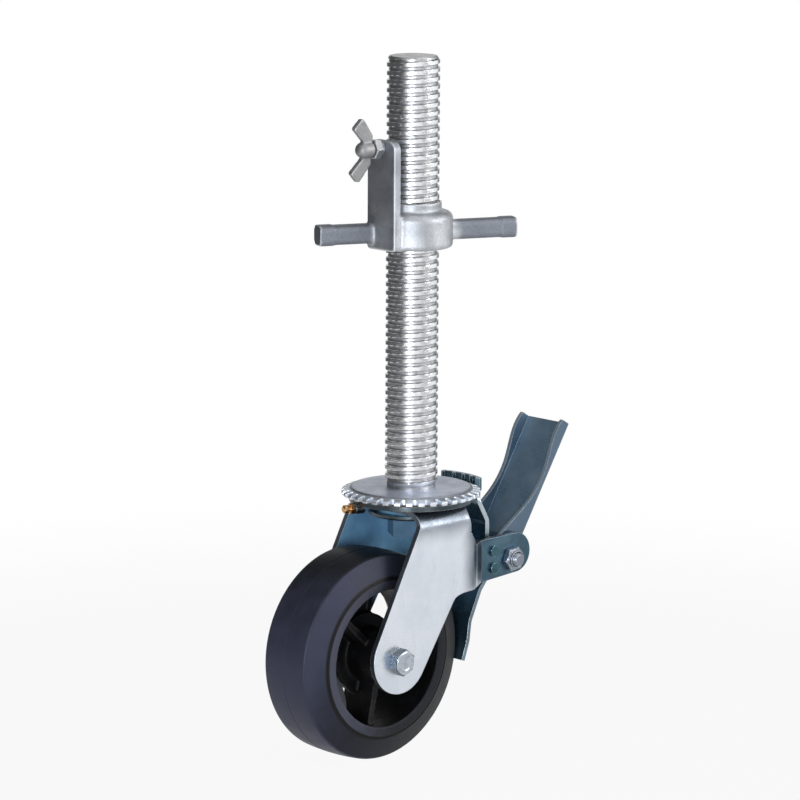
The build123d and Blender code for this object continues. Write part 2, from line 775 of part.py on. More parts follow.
# Lock block: five ribs that drop into the gaps between the plate's teeth
rib_tip_r = tooth_tip_r + seat_gap
with BuildPart() as lock_block:
    with BuildSketch(Plane.XY.offset(lock_block_bottom)):
        with BuildLine():
            CenterArc((0, 0), block_outer_r, -lock_block_angle, 2 * lock_block_angle)
            Line(toward(lock_block_angle, block_outer_r), toward(lock_block_angle, block_inner_r))
            CenterArc((0, 0), block_inner_r, -lock_block_angle, 2 * lock_block_angle)
            Line(toward(-lock_block_angle, block_inner_r), toward(-lock_block_angle, block_outer_r))
        make_face()
        for rib in range(lock_rib_count):
            rib_angle = tooth_pitch * (rib - (lock_rib_count - 1) / 2)
            with Locations(Location((0, 0), rib_angle)):
                Polygon(
                    (rib_tip_r, -lock_rib_tip_width / 2),
                    (block_inner_r + 1, -lock_rib_base_width / 2),
                    (block_inner_r + 1, lock_rib_base_width / 2),
                    (rib_tip_r, lock_rib_tip_width / 2),
                    align=None,
                )
    extrude(amount=lock_block_top - lock_block_bottom)
lock_block.part.label = "lock_block"
export_step(lock_block.part, "parts/lock_block.step")

# Guide rivets: two through each ear, on which the brake plate slides
with BuildPart() as guide_rivets:
    for side in (-1, 1):
        for height in rivet_heights:
            with BuildSketch(Plane.XZ.offset(side * ear_half_width)):
                with Locations((rivet_x, height)):
                    Circle(rivet_head_r)
            extrude(amount=side * rivet_head_height)
            with BuildSketch(Plane.XZ.offset(side * ear_half_width)):
                with Locations((rivet_x, height)):
                    Circle(rivet_r)
            extrude(amount=-side * (ear_half_width - brake_half_width + 0.5))
guide_rivets.part.label = "guide_rivets"
export_step(guide_rivets.part, "parts/guide_rivets.step")

# Jack nut: round body and collar, two handles and the upstand
with BuildPart() as jack_nut:
    with BuildSketch(Plane.XY.offset(nut_base_z)):
        Circle(nut_body_r)
    extrude(amount=nut_body_height)
    fillet(jack_nut.edges().filter_by(GeomType.CIRCLE).sort_by(Axis.Z)[-1], radius=nut_shoulder_r)
    fillet(jack_nut.edges().filter_by(GeomType.CIRCLE).sort_by(Axis.Z)[0], radius=nut_edge_r)
    with BuildSketch(Plane.XY.offset(nut_base_z + nut_body_height)):
        Circle(nut_collar_r)
    extrude(amount=nut_collar_height)
    for turn, reach in zip((handle_angle, handle_angle + 180), handle_reaches):
        handle_plane = Plane(
            origin=(*toward(turn, nut_body_r - 5), nut_base_z + handle_rise),
            x_dir=(*toward(turn + 90, 1), 0),
            z_dir=(*toward(turn, 1), 0),
        )
        with BuildSketch(handle_plane):
            RectangleRounded(handle_width, handle_height, 3.5)
        extrude(amount=reach - handle_end_length - nut_body_r + 5)
        with BuildSketch(handle_plane.offset(reach - handle_end_length - nut_body_r + 5)):
            RectangleRounded(handle_width + 2 * handle_end_step, handle_height + 2 * handle_end_step, 4)
        extrude(amount=handle_end_length)
    with BuildSketch(Plane.YZ.offset(-upstand_outer_x)):
        with Locations((0, nut_base_z)):
            Rectangle(2 * upstand_half_width, upstand_height, align=(Align.CENTER, Align.MIN))
        fillet(vertices().group_by(Axis.Y)[-1], radius=upstand_corner_r)
        fillet(vertices().group_by(Axis.Y)[0], radius=nut_edge_r)
    extrude(amount=upstand_thickness)
    with BuildSketch(Plane.YZ.offset(-upstand_x - 1)):
        with Locations((0, nut_base_z)):
            Rectangle(2 * upstand_half_width, nut_body_height - 2, align=(Align.CENTER, Align.MIN))
    extrude(amount=10)
    with BuildSketch(Plane.YZ.offset(-upstand_outer_x - 1)):
        with Locations((0, wing_axis_z)):
            Circle(wing_bolt_r + running_gap)
    extrude(amount=upstand_thickness + 2, mode=Mode.SUBTRACT)
    with BuildSketch(Plane.XY.offset(nut_base_z)):
        Circle(nut_bore_r)
    extrude(amount=nut_body_height + nut_collar_height, mode=Mode.SUBTRACT)
jack_nut.part.label = "jack_nut"
export_step(jack_nut.part, "parts/jack_nut.step")

# Wing bolt with swept wings, and its nut against the upstand
wing_plane = Plane(origin=(-upstand_outer_x, 0, wing_axis_z), x_dir=(0, 1, 0), z_dir=(-1, 0, 0))
wing_start = jam_nut_collar + jam_nut_height + wing_boss_gap
wing_side = (0, cos(radians(wing_lean)), sin(radians(wing_lean)))
with BuildPart() as wing_bolt:
    with BuildSketch(wing_plane.offset(-upstand_thickness)):
        Circle(wing_bolt_r)
    extrude(amount=upstand_thickness + wing_start + 1)
    with BuildSketch(wing_plane.offset(wing_start)):
        Circle(wing_boss_r)
    extrude(amount=wing_boss_length)
    with Locations((-upstand_outer_x - wing_start - wing_boss_length, 0, wing_axis_z)):
        Sphere(wing_boss_r, arc_size1=-90, arc_size2=90, rotation=(0, 0, 0))
    for side in (-1, 1):
        with BuildSketch(Plane(wing_plane.origin, x_dir=(-1, 0, 0), z_dir=wing_side)):
            Polygon(
                (wing_start, side * 3),
                (wing_start, side * (wing_boss_r + 4.7)),
                (wing_start + wing_sweep - 8, side * wing_span / 2),
                (wing_start + wing_sweep - 6, side * wing_span / 2),
                (wing_start + wing_sweep, side * (wing_span / 2 - 6)),
                (wing_start + wing_sweep - 0.5, side * (wing_span / 2 - 7.5)),
                (wing_start + 7, side * 5),
                (wing_start + 5, side * 3),
                align=None,
            )
        extrude(amount=wing_thickness / 2, both=True)
wing_bolt.part.label = "wing_bolt"
export_step(wing_bolt.part, "parts/wing_bolt.step")

with BuildPart() as wing_jam_nut:
    with BuildSketch(wing_plane):
        Circle(jam_nut_collar_r)
        Circle(wing_bolt_r + running_gap, mode=Mode.SUBTRACT)
    extrude(amount=jam_nut_collar)
    with BuildSketch(wing_plane.offset(jam_nut_collar)):
        RegularPolygon(hexagon(jam_nut_flats), 6)
        Circle(wing_bolt_r + running_gap, mode=Mode.SUBTRACT)
    extrude(amount=jam_nut_height)
wing_jam_nut.part.label = "wing_jam_nut"
export_step(wing_jam_nut.part, "parts/wing_jam_nut.step")
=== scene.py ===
import bmesh
import bpy
import mathutils
import numpy as np
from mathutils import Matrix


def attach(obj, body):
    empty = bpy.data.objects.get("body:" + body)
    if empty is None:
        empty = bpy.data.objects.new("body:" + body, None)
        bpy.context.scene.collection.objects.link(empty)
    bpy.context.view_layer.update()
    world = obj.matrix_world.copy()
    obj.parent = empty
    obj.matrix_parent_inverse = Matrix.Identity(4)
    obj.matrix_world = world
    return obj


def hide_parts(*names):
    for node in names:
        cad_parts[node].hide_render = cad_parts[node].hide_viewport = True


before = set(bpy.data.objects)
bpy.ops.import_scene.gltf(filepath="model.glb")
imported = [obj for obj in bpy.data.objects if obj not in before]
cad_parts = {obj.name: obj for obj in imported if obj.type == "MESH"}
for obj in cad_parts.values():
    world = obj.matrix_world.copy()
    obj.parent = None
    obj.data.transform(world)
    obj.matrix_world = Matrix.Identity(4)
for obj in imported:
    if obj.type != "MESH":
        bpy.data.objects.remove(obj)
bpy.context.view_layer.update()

scene = bpy.context.scene
scene.view_settings.view_transform = "Standard"


# The photographer's stand. A long lens looks down a little on the castor from the side that
# the wheel trails to. Soft boxes light it from above, from the right and, cooler, from the low left.
turn, tilt, roll = np.radians((-43.50, -10.51, 0.31))
forward = np.array((-np.sin(turn) * np.cos(tilt), np.cos(turn) * np.cos(tilt), np.sin(tilt)))
level = np.array((np.cos(turn), np.sin(turn), 0.0))
upward = np.cross(level, forward)
placing = np.eye(4)
placing[:3, 0] = level * np.cos(roll) + upward * np.sin(roll)
placing[:3, 1] = upward * np.cos(roll) - level * np.sin(roll)
placing[:3, 2] = -forward
placing[:3, 3] = (-2.0426, -2.1405, 0.61125)
lens = bpy.data.cameras.new("camera")
lens.lens = 189.95
lens.sensor_width = 36.0
lens.clip_end = 60.0
camera = bpy.data.objects.new("camera", lens)
camera.matrix_world = mathutils.Matrix(placing.tolist())
scene.collection.objects.link(camera)
scene.camera = camera


def soft_box(name, spot, target, size, power, tint):
    """A square area lamp at spot that faces target."""
    lamp = bpy.data.lights.new(name, "AREA")
    lamp.shape = "SQUARE"
    lamp.size = size
    lamp.energy = power
    lamp.color = tint
    holder = bpy.data.objects.new(name, lamp)
    gaze = mathutils.Vector(target) - mathutils.Vector(spot)
    facing = gaze.to_track_quat("-Z", "Y").to_matrix().to_4x4()
    holder.matrix_world = mathutils.Matrix.Translation(spot) @ facing
    scene.collection.objects.link(holder)


soft_box("lamp_over", (0.3, -0.6, 1.9), (0.0, 0.0, 0.0), 1.2, 2.5, (1.0, 1.0, 1.0))
soft_box("lamp_right", (1.1, -1.8, 0.7), (0.0, 0.0, 0.0), 0.9, 15.0, (1.0, 1.0, 1.0))
soft_box("lamp_left", (-1.7, -1.3, 0.1), (0.0, 0.0, -0.1), 0.7, 17.0, (0.88, 0.92, 1.0))


class Field:
    """A value that varies over a surface: one shader socket, which adds and multiplies like a number."""

    def __init__(self, tree, socket):
        self.tree = tree
        self.socket = socket

    def node(self, kind, settings, inputs, output=0):
        """A new node of this kind: its settings go in first, then the values or links of its sockets."""
        made = self.tree.nodes.new(kind)
        for name, value in settings.items():
            if name == "stops":
                for count, (place, colour) in enumerate(value):
                    elements = made.color_ramp.elements
                    stop = elements[count] if count < 2 else elements.new(place)
                    stop.position = place
                    stop.color = (*colour, 1.0)
            else:
                setattr(made, name, value)
        for name, value in inputs.items():
            if isinstance(value, Field):
                self.tree.links.new(value.socket, made.inputs[name])
            else:
                made.inputs[name].default_value = value
        return Field(self.tree, made.outputs[output])

    def math(self, operation, first, second):
        return self.node("ShaderNodeMath", {"operation": operation}, {0: first, 1: second})

    def __add__(self, other):
        return self.math("ADD", self, other)

    def __radd__(self, other):
        return self.math("ADD", other, self)

    def __sub__(self, other):
        return self.math("SUBTRACT", self, other)

    def __rsub__(self, other):
        return self.math("SUBTRACT", other, self)

    def __mul__(self, other):
        return self.math("MULTIPLY", self, other)

    def __rmul__(self, other):
        return self.math("MULTIPLY", other, self)

    def step(self, low, high):
        """0 below low, 1 above high, and a soft rise between them."""
        return self.node("ShaderNodeMapRange", {"interpolation_type": "SMOOTHSTEP"},
                         {"Value": self, "From Min": low, "From Max": high, "To Min": 0.0, "To Max": 1.0})

    def noise(self, scale, detail=3.0, roughness=0.55):
        """Cloudy noise of this many waves a metre, read at this place."""
        return self.node("ShaderNodeTexNoise", {},
                         {"Vector": self, "Scale": scale, "Detail": detail, "Roughness": roughness})

    def stretched(self, sizes):
        """This place with each axis scaled, so that a pattern read there is drawn out."""
        return self.node("ShaderNodeMapping", {}, {"Vector": self, "Scale": sizes})

    def part(self, axis):
        """One part of this place or direction: 0, 1 and 2 are x, y and z."""
        return self.node("ShaderNodeSeparateXYZ", {}, {0: self}, axis)

    def length(self):
        """How far this place lies from the origin."""
        return self.node("ShaderNodeVectorMath", {"operation": "LENGTH"}, {0: self}, 1)

    def along(self, direction):
        """How far this place or direction reaches along another one."""
        return self.node("ShaderNodeVectorMath", {"operation": "DOT_PRODUCT"}, {0: self, 1: direction}, 1)

    def moved(self, shift):
        return self.node("ShaderNodeVectorMath", {"operation": "ADD"}, {0: self, 1: shift})

    def axis_reach(self):
        """How far this place lies from the stem's axis."""
        level = self.node("ShaderNodeVectorMath", {"operation": "MULTIPLY"}, {0: self, 1: (1.0, 1.0, 0.0)})
        return level.length()

    def size(self):
        """This value without its sign."""
        return self.math("ABSOLUTE", self, 0.0)

    def most(self, other):
        """The larger of this value and another."""
        return self.math("MAXIMUM", self, other)

    def blend(self, under, over):
        """The colour under where this is 0, and the colour over where this is 1."""
        return self.node("ShaderNodeMix", {"data_type": "RGBA"}, {0: self, 6: under, 7: over}, 2)


def new_finish(name):
    """A fresh material, its shader node and its place field, in metres of the castor's own frame."""
    finish = bpy.data.materials.new(name)
    finish.use_nodes = True
    tree = finish.node_tree
    place = Field(tree, tree.nodes.new("ShaderNodeTexCoord").outputs["Object"])
    return finish, tree.nodes["Principled BSDF"], place


def feed(shader, **values):
    """Joins fields or numbers to the shader's sockets, whose names have spaces for underscores."""
    for name, value in values.items():
        socket = shader.inputs[name.replace("_", " ")]
        if isinstance(value, Field):
            value.tree.links.new(value.socket, socket)
        else:
            socket.default_value = value


# The paper and the room: a round white sheet under the wheel takes the soft shadow. Polished parts
# see bright windows in front, overhead and straight behind, and a dim room between them.
floor_rings = np.linspace(0.02, 0.95, 12)[:, None]
floor_turn = np.linspace(0.0, 2.0 * np.pi, 96, endpoint=False)
floor_points = np.stack((floor_rings * np.cos(floor_turn), floor_rings * np.sin(floor_turn),
                         np.full((12, 96), -0.18905)), axis=-1).reshape(-1, 3)
floor_index = np.arange(12 * 96).reshape(12, 96)
floor_index = np.concatenate((floor_index, floor_index[:, :1]), axis=1)
floor_quads = np.stack((floor_index[:-1, :-1], floor_index[1:, :-1],
                        floor_index[1:, 1:], floor_index[:-1, 1:]), axis=-1)
floor_mesh = bpy.data.meshes.new("paper")
floor_mesh.from_pydata(floor_points.tolist(), [], floor_quads.reshape(-1, 4).tolist() + [list(range(96))])
paper_sheet = bpy.data.objects.new("paper", floor_mesh)
scene.collection.objects.link(paper_sheet)
paper, paper_shader, paper_place = new_finish("white_paper")
feed(paper_shader, Base_Color=(0.32, 0.32, 0.32, 1.0), Roughness=0.9)
path = paper.node_tree.nodes.new("ShaderNodeLightPath")
rays = ("Is Camera Ray", "Is Glossy Ray", "Is Transmission Ray")
seen = [Field(paper.node_tree, path.outputs[ray]) for ray in rays]
plain = seen[0].most(seen[1] * 0.88).most(seen[2])
glow = plain.node("ShaderNodeEmission", {}, {"Color": (1.0, 1.0, 1.0, 1.0), "Strength": 1.0})
far = paper_place.length().step(0.45, 0.93)
paper_mix = paper.node_tree.nodes.new("ShaderNodeMixShader")
paper.node_tree.links.new((plain * (0.93 + far * 0.07)).socket, paper_mix.inputs[0])
paper.node_tree.links.new(paper_shader.outputs[0], paper_mix.inputs[1])
paper.node_tree.links.new(glow.socket, paper_mix.inputs[2])
paper.node_tree.links.new(paper_mix.outputs[0], paper.node_tree.nodes["Material Output"].inputs["Surface"])
floor_mesh.materials.append(paper)

world = bpy.data.worlds.new("studio")
world.use_nodes = True
sky = world.node_tree
sky_ray = sky.nodes.new("ShaderNodeLightPath")
sky_turn = Field(sky, sky.nodes.new("ShaderNodeTexCoord").outputs["Generated"])
sky_front = sky_turn.along((0.12, -0.99, 0.0))
sky_back = sky_turn.along((0.69, 0.72, 0.0))
sky_high = sky_turn.part(2)
windows = sky_front.step(-0.1, 0.35)
windows = windows.most(sky_high.step(0.7, 0.95) * 0.75)
windows = windows.most(sky_back.step(0.85, 0.97) * 0.95)
sky_gap = sky_turn.along((0.30, -0.95, 0.0))
room = 0.09 + windows * (0.97 - sky_gap.step(0.86, 0.98) * 0.42)
in_mirror = Field(sky, sky_ray.outputs["Is Glossy Ray"])
to_lens = Field(sky, sky_ray.outputs["Is Camera Ray"])
open_light = 0.42 - sky_high.step(0.0, 0.8) * 0.34
level_of_sky = open_light + in_mirror * (room - open_light)
level_of_sky = level_of_sky + to_lens * (1.0 - level_of_sky)
sky.links.new(level_of_sky.socket, sky.nodes["Background"].inputs["Strength"])
sky.nodes["Background"].inputs["Color"].default_value = (1.0, 1.0, 1.0, 1.0)
scene.world = world


# Stem: a 38 mm steel bar with a round trapezoidal thread rolled along it, 6 mm a turn, plated
# bright. It is chamfered at the top, turned down at its foot, and runs on below the plate as the
# kingpin that the fork swivels on.
stem_r, stem_root, stem_top, pitch = 0.01895, 0.0173, 0.3086, 0.006


def skin(name, body, points, closed_round, finish, sharp=40.0):
    """A piece from a grid of points: rows along the piece, columns round it, joined into quads."""
    rows, columns = points.shape[:2]
    index = np.arange(rows * columns).reshape(rows, columns)
    if closed_round:
        index = np.concatenate((index, index[:, :1]), axis=1)
    quads = np.stack((index[:-1, :-1], index[:-1, 1:], index[1:, 1:], index[1:, :-1]), axis=-1)
    mesh = bpy.data.meshes.new(name)
    mesh.from_pydata(points.reshape(-1, 3).tolist(), [], quads.reshape(-1, 4).tolist())
    made = bpy.data.objects.new(name, mesh)
    scene.collection.objects.link(made)
    mesh.materials.append(finish)
    tidy_mesh(made, sharp)
    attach(made, body)
    return made


def tidy_mesh(made, sharp):
    """Merges doubled points, turns faces outwards and shades smooth but for edges over sharp degrees."""
    work = bmesh.new()
    work.from_mesh(made.data)
    bmesh.ops.remove_doubles(work, verts=work.verts, dist=1e-6)
    bmesh.ops.dissolve_degenerate(work, edges=work.edges, dist=1e-7)
    bmesh.ops.recalc_face_normals(work, faces=work.faces)
    work.to_mesh(made.data)
    work.free()
    made.data.shade_smooth()
    made.data.set_sharp_from_angle(angle=np.radians(sharp))


def lathe(profile, columns, centre=(0.0, 0.0, 0.0), axis="z"):
    """Points of a profile of (radius, height) pairs turned round an axis through centre."""
    radius, height = np.array(profile, float).T
    angle = np.linspace(0.0, 2.0 * np.pi, columns, endpoint=False)
    around = radius[:, None] * np.cos(angle), radius[:, None] * np.sin(angle)
    along = np.broadcast_to(height[:, None], around[0].shape)
    order = {"z": (around[0], around[1], along), "y": (around[1], along, around[0])}
    return np.stack(order[axis], axis=-1) + np.array(centre)


def rolled_thread(radius_root, radius_crest, low, high, pitch, rows, columns):
    """Grid of a right-hand thread.

    The radius rises and falls once a pitch, and the crest climbs with the angle.
    """
    angle = np.linspace(0.0, 2.0 * np.pi, columns, endpoint=False)
    height = np.linspace(low, high, rows)[:, None]
    wave = 0.5 + 0.5 * np.cos(2.0 * np.pi * (height / pitch - angle / (2.0 * np.pi)))
    rise = np.clip((wave - 0.16) / 0.44, 0.0, 1.0)
    rise = rise * rise * (3.0 - 2.0 * rise)
    radius = radius_root + (radius_crest - radius_root) * rise
    radius = np.minimum(radius, radius_crest - 0.0022 + (high - height) * 0.8)
    run_in = np.clip((height - low) / 0.004, 0.0, 1.0)
    radius = radius_root + (radius - radius_root) * np.where(height < low + 0.004, run_in, 1.0)
    height = np.broadcast_to(height, radius.shape)
    return np.stack((radius * np.cos(angle), radius * np.sin(angle), height), axis=-1)


def soft_edges(place, rounding):
    """A normal that rolls over each edge, as if it were rounded by this many metres."""
    return place.node("ShaderNodeBevel", {"samples": 6}, {"Radius": rounding})


def worn_relief(place, height, depth, rounding):
    """Rounded edges with a bump of this depth from the height field."""
    return place.node("ShaderNodeBump", {},
                      {"Height": height, "Distance": depth, "Normal": soft_edges(place, rounding)})


def worn_and_lit_edges(place, rounding):
    """1 along rounded edges and 0 on open faces, from how far the rounded normal leaves the face's own. The
    finishes paint these edges paler, as wear and as painted highlights.
    """
    flat = place.node("ShaderNodeNewGeometry", {}, {}, "Normal")
    turned = soft_edges(place, rounding).along(flat)
    return (1.0 - turned).step(0.015, 0.16)


def bright_plate(name, colour, dull, roughness, grime):
    """Bright plated steel: cloudy plating, fine scratches, a little grime and paler edges, worn and painted
    as highlights.
    """
    finish, shader, place = new_finish(name)
    cloud = place.noise(60.0, 4.0, 0.6).step(0.35, 0.7)
    speck = place.noise(900.0, 2.0, 0.5)
    scratch = place.stretched((1.0, 1.0, 14.0)).noise(420.0, 2.0, 0.4).step(0.55, 0.8)
    dirt = place.noise(140.0, 5.0, 0.65).step(0.6, 0.8) * grime
    base = cloud.blend((*colour, 1.0), (*dull, 1.0))
    base = worn_and_lit_edges(place, 0.0005).blend(base, (0.86, 0.88, 0.9, 1.0))
    feed(shader, Base_Color=dirt.blend(base, (0.09, 0.085, 0.08, 1.0)), Metallic=1.0 - dirt * 0.4,
         Roughness=roughness + cloud * 0.08 + scratch * 0.07 + dirt * 0.3,
         Normal=worn_relief(place, speck + scratch * 0.4, 0.00003, 0.0005))
    return finish


stem_plate, stem_shader, stem_place = new_finish("stem_plate")
stem_reach = stem_place.axis_reach()
groove = 1.0 - stem_reach.step(stem_root + 0.0001, stem_r - 0.0004)
stem_cloud = stem_place.noise(70.0, 4.0, 0.6).step(0.35, 0.7)
stem_oil = stem_place.noise(260.0, 4.0, 0.6).step(0.45, 0.75) * groove
stem_scar = stem_place.stretched((1.0, 1.0, 9.0)).noise(520.0, 3.0, 0.5).step(0.55, 0.8)
stem_base = stem_cloud.blend((0.84, 0.855, 0.87, 1.0), (0.70, 0.715, 0.735, 1.0))
# The thread roots are painted dark as shade in the grooves, and oil patches in them darken them more.
stem_base = (groove * 0.45 + stem_oil * 0.3).blend(stem_base, (0.15, 0.145, 0.14, 1.0))
stem_rough = stem_scar + stem_place.noise(900.0, 2.0, 0.5)
feed(stem_shader, Base_Color=stem_base, Metallic=1.0,
     Roughness=0.17 + stem_cloud * 0.07 + groove * 0.16 + stem_scar * 0.06,
     Normal=stem_place.node("ShaderNodeBump", {}, {"Height": stem_rough, "Distance": 0.00003}))
kingpin_r, kingpin_end, thread_start = 0.01, -0.0358, 0.0018
thread_points = rolled_thread(stem_root, stem_r, thread_start, stem_top, pitch, 1000, 88)
foot = lathe([(0.0, kingpin_end), (kingpin_r - 0.0012, kingpin_end), (kingpin_r, kingpin_end + 0.0012),
              (kingpin_r, 0.0), (stem_root, 0.0), (stem_root, thread_start)], 88)
top_rings = thread_points[-1][None] * np.array((0.97, 0.5, 0.0))[:, None, None] * np.array((1.0, 1.0, 0.0))
top_rings[..., 2] = stem_top
stem_points = np.concatenate((foot, thread_points, top_rings))
stem = skin("stem_thread", "stem", stem_points, True, stem_plate)
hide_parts("stem")


# Toothed plate: a steel disc pressed with a stepped rim and cut with teeth all round, welded to
# the foot of the stem. The lock block is meant to drop between its teeth. Its top is scuffed.
tooth_count, tooth_tip, tooth_root, disc_r = 36, 0.0499, 0.0448, 0.043
step_r, underside = disc_r + 0.0009, -0.0053


def tooth_wave(angle, sharpness):
    """1 on each tooth and 0 in each gap, with sloping flanks; a gap stands at angle zero."""
    phase = np.abs((angle * tooth_count / (2.0 * np.pi)) % 1.0 - 0.5) * 2.0
    return np.clip((0.62 - phase) * sharpness + 0.5, 0.0, 1.0)


def plate_row(radius, height):
    """One ring of the plate's skin at these radii and heights."""
    radius, height = np.broadcast_arrays(radius, height, plate_turn)[:2]
    return np.stack((radius * np.cos(plate_turn), radius * np.sin(plate_turn), height), axis=-1)


plate_turn = np.linspace(0.0, 2.0 * np.pi, tooth_count * 20, endpoint=False)
plate_rim = tooth_root + (tooth_tip - tooth_root) * tooth_wave(plate_turn, 4.5)
plate_skin = [plate_row(r, 0.0) for r in (stem_root, 0.022, 0.030, 0.038, disc_r - 0.0004)]
plate_skin += [plate_row(r, height)
               for r, height in ((disc_r, -0.00012), (disc_r + 0.0004, -0.0006), (step_r, -0.0009))]
for share, drop in ((0.25, 0.0), (0.6, 0.0), (0.92, 0.0001), (0.985, 0.0004), (1.0, 0.0009)):
    reach = step_r + (plate_rim - step_r) * share
    plate_skin.append(plate_row(reach, -0.0009 - 0.0017 * (reach - step_r) / 0.0061 - drop))
plate_skin += [plate_row(plate_rim, -0.0048), plate_row(plate_rim - 0.0004, underside)]
plate_skin += [plate_row(r, underside) for r in (0.0438, 0.0384)]
plate_skin += [plate_row(r, underside + np.sqrt(max(0.0, 0.0033 ** 2 - (r - 0.035) ** 2)) * 0.8)
               for r in (0.0378, 0.0365, 0.035, 0.0335, 0.0322)]
plate_skin += [plate_row(r, underside) for r in (0.0316, 0.0106)]
plate_skin += [plate_row(0.0106, -0.0001), plate_row(stem_root, 0.0)]
plate_steel, plate_shader, plate_place = new_finish("plate_steel")
plate_reach = plate_place.axis_reach()
plate_grain = plate_place.noise(420.0, 5.0, 0.65)
plate_scuff = plate_place.noise(55.0, 5.0, 0.65).step(0.38, 0.68)
# The step round the disc's edge is painted dark as shade.
plate_step_shade = 1.0 - plate_reach.step(disc_r + 0.0006, disc_r + 0.0016)
plate_step_shade = plate_reach.step(disc_r - 0.0012, disc_r - 0.0002) * plate_step_shade
plate_teeth = plate_reach.step(disc_r + 0.0008, disc_r + 0.002)
plate_base = plate_scuff.blend((0.70, 0.75, 0.86, 1.0), (0.52, 0.56, 0.66, 1.0))
plate_base = (plate_teeth * 0.85).blend(plate_base, (0.74, 0.79, 0.86, 1.0))
plate_base = (plate_step_shade * 0.6).blend(plate_base, (0.09, 0.09, 0.10, 1.0))
plate_grime = plate_place.noise(230.0, 5.0, 0.7).step(0.6, 0.75) * 0.6
plate_base = plate_grime.blend(plate_base, (0.07, 0.065, 0.06, 1.0))
feed(plate_shader, Base_Color=worn_and_lit_edges(plate_place, 0.0005).blend(plate_base, (0.85, 0.88, 0.92, 1.0)),
     Metallic=0.8 + plate_teeth * 0.15, Roughness=0.36 + plate_grain * 0.2 - plate_teeth * 0.12,
     Normal=worn_relief(plate_place, plate_grain + plate_scuff * 0.5, 0.00012, 0.0005))
toothed_plate = skin("toothed_plate", "stem", np.stack(plate_skin), True, plate_steel, 32.0)
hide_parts("lock_ring")


# Races: a pressed crown race in dark blue plating with the balls and a greased felt above it, and
# a dished lower race, washer and king nut on the kingpin under the crown. A brass nipple feeds them.
def side_of(tree):
    """How far each face looks to either side of the castor, from 0 to 1, in the piece's own frame."""
    facing = Field(tree, tree.nodes.new("ShaderNodeTexCoord").outputs["Normal"])
    return facing.part(1).size()


def blue_plate(name, colour, pale, roughness, edge=(0.42, 0.52, 0.60), metal=0.72, painted_light=""):
    """Dark blue plating that thins to a paler colour in clouds, with paler edges, worn and painted as
    highlights.

    Painted light says where more light or shade is painted. With side, the faces that look to the side
    get a painted highlight, the paler the higher they stand. With flange, the faces that don't look to
    the side, past 18.8 mm from the middle, get a painted highlight, and the faces that look to the side
    are painted darker as shade.
    """
    finish, shader, place = new_finish(name)
    cloud = place.noise(38.0, 3.0, 0.55).step(0.36, 0.68)
    speck = place.noise(700.0, 3.0, 0.6)
    rub = place.stretched((3.0, 1.0, 0.5)).noise(240.0, 4.0, 0.6).step(0.6, 0.8)
    base = (rub * 0.3).blend(cloud.blend((*colour, 1.0), (*pale, 1.0)), (0.30, 0.36, 0.42, 1.0))
    base = (worn_and_lit_edges(place, 0.0006) * 0.85).blend(base, (*edge, 1.0))
    if painted_light == "side":
        # Side faces painted paler as highlights, the more the higher they stand.
        height = place.part(2).step(-0.050, -0.030)
        bright = side_of(finish.node_tree).step(0.6, 0.8) * (0.15 + height * 0.55)
        base = bright.blend(base, (0.70, 0.77, 0.82, 1.0))
    if painted_light == "flange":
        # Side faces painted darker as shade, and flange edges painted paler as highlights.
        outer_highlight = place.part(1).size().step(0.0186, 0.0190)
        side = side_of(finish.node_tree).step(0.15, 0.5)
        base = (side * 0.8).blend(base, (0.08, 0.125, 0.18, 1.0))
        base = (outer_highlight * (1.0 - side) * 0.5).blend(base, (0.62, 0.71, 0.79, 1.0))
    feed(shader, Base_Color=base, Metallic=metal, Roughness=roughness + cloud * 0.07 + rub * 0.12,
         Normal=worn_relief(place, speck + rub * 0.3, 0.00004, 0.0006))
    return finish


def repaint(finish, *nodes):
    """Gives carried-over CAD nodes this finish in place of the plain one that they came with."""
    for name in nodes:
        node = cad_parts[name]
        if not node.material_slots:
            node.data.materials.append(finish)
        for slot in node.material_slots:
            slot.material = finish


teal_plate = blue_plate("teal_plate", (0.05, 0.10, 0.14), (0.10, 0.18, 0.24), 0.28)
# Bright blue with little metal: on the fork's inside it is painted blue reflected light; the thrust washer
# wears it too.
deep_and_reflected_plate = blue_plate("deep_and_reflected_plate", (0.17, 0.40, 0.66), (0.28, 0.60, 0.88), 0.30, metal=0.1)
ball_steel = bright_plate("ball_steel", (0.62, 0.63, 0.65), (0.55, 0.56, 0.58), 0.12, 0.4)
felt_finish, felt_shader, felt_place = new_finish("greased_felt")
felt_fibre = felt_place.noise(1400.0, 5.0, 0.7)
feed(felt_shader, Base_Color=felt_fibre.blend((0.06, 0.045, 0.028, 1.0), (0.19, 0.15, 0.09, 1.0)),
     Roughness=0.35 + felt_fibre * 0.4, Normal=worn_relief(felt_place, felt_fibre, 0.0002, 0.0002))
brass, brass_shader, brass_place = new_finish("nipple_brass")
brass_cloud = brass_place.noise(500.0, 4.0, 0.6).step(0.4, 0.75)
brass_base = brass_cloud.blend((0.80, 0.48, 0.22, 1.0), (0.30, 0.15, 0.07, 1.0))
feed(brass_shader, Base_Color=brass_base, Metallic=1.0,
     Roughness=0.22 + brass_cloud * 0.3, Normal=worn_relief(brass_place, brass_cloud, 0.00003, 0.0003))
king_plate = blue_plate("king_plate", (0.07, 0.17, 0.28), (0.12, 0.25, 0.38), 0.3, metal=0.3)
race_plate = blue_plate("race_plate", (0.055, 0.075, 0.085), (0.13, 0.155, 0.165), 0.24,
                        (0.55, 0.60, 0.62), 0.85)
repaint(race_plate, "crown_race", "lower_race")
repaint(king_plate, "king_nut")
repaint(deep_and_reflected_plate, "thrust_washer")
repaint(ball_steel, "race_balls", "wheel_rollers")
repaint(felt_finish, "dust_seal")
repaint(brass, "grease_nipple")
